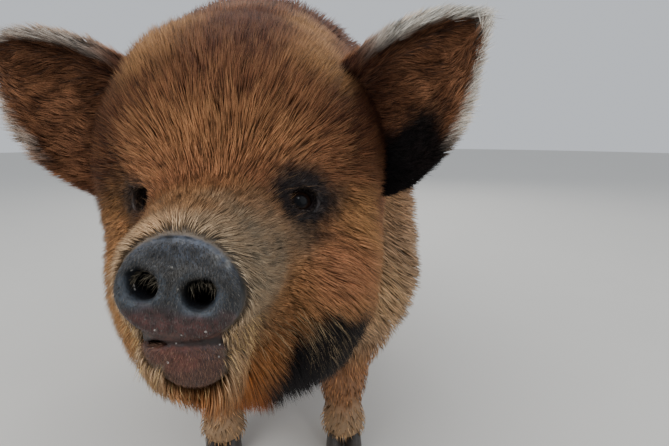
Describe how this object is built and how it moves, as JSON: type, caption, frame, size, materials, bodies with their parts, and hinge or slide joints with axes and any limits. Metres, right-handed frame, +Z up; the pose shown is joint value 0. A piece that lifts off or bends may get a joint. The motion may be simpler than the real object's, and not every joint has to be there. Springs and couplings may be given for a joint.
{
  "type": "kunekune pig",
  "caption": "Young long-coated pig standing square, head slightly turned, with a flat snout disc, upright cupped ears, cloven feet and a hanging tasselled tail.",
  "frame": {"origin": "on the ground, below the middle of the whole pig's box", "axes": "+Z up, -Y the way the pig faces, +X towards its left side"},
  "size_m": [0.2975, 0.7567, 0.4306],
  "materials": {
    "ginger_coat": "long straight ginger-brown hair, darker along the back, cream round the snout, black patches on the left cheek and ear",
    "snout_skin": "bare damp slate-grey skin, pinkish brown at its lower edge",
    "eye": "wet dark brown eyeball",
    "hoof_horn": "dull dark horn"
  },
  "bodies": {
    "root": {"head": "ginger_coat", "neck": "ginger_coat", "torso": "ginger_coat", "tail": "ginger_coat", "snout_disc": "snout_skin", "ear_left": "ginger_coat", "eye_left": "eye", "leg_front_left": "ginger_coat", "hoof_front_left_inner": "hoof_horn", "dewclaw_front_left_inner": "hoof_horn", "hoof_front_left_outer": "hoof_horn", "dewclaw_front_left_outer": "hoof_horn", "leg_hind_left": "ginger_coat", "hoof_hind_left_inner": "hoof_horn", "dewclaw_hind_left_inner": "hoof_horn", "hoof_hind_left_outer": "hoof_horn", "dewclaw_hind_left_outer": "hoof_horn", "ear_right": "ginger_coat", "eye_right": "eye", "leg_front_right": "ginger_coat", "hoof_front_right_inner": "hoof_horn", "dewclaw_front_right_inner": "hoof_horn", "hoof_front_right_outer": "hoof_horn", "dewclaw_front_right_outer": "hoof_horn", "leg_hind_right": "ginger_coat", "hoof_hind_right_inner": "hoof_horn", "dewclaw_hind_right_inner": "hoof_horn", "hoof_hind_right_outer": "hoof_horn", "dewclaw_hind_right_outer": "hoof_horn"}
  },
  "joints": []
}
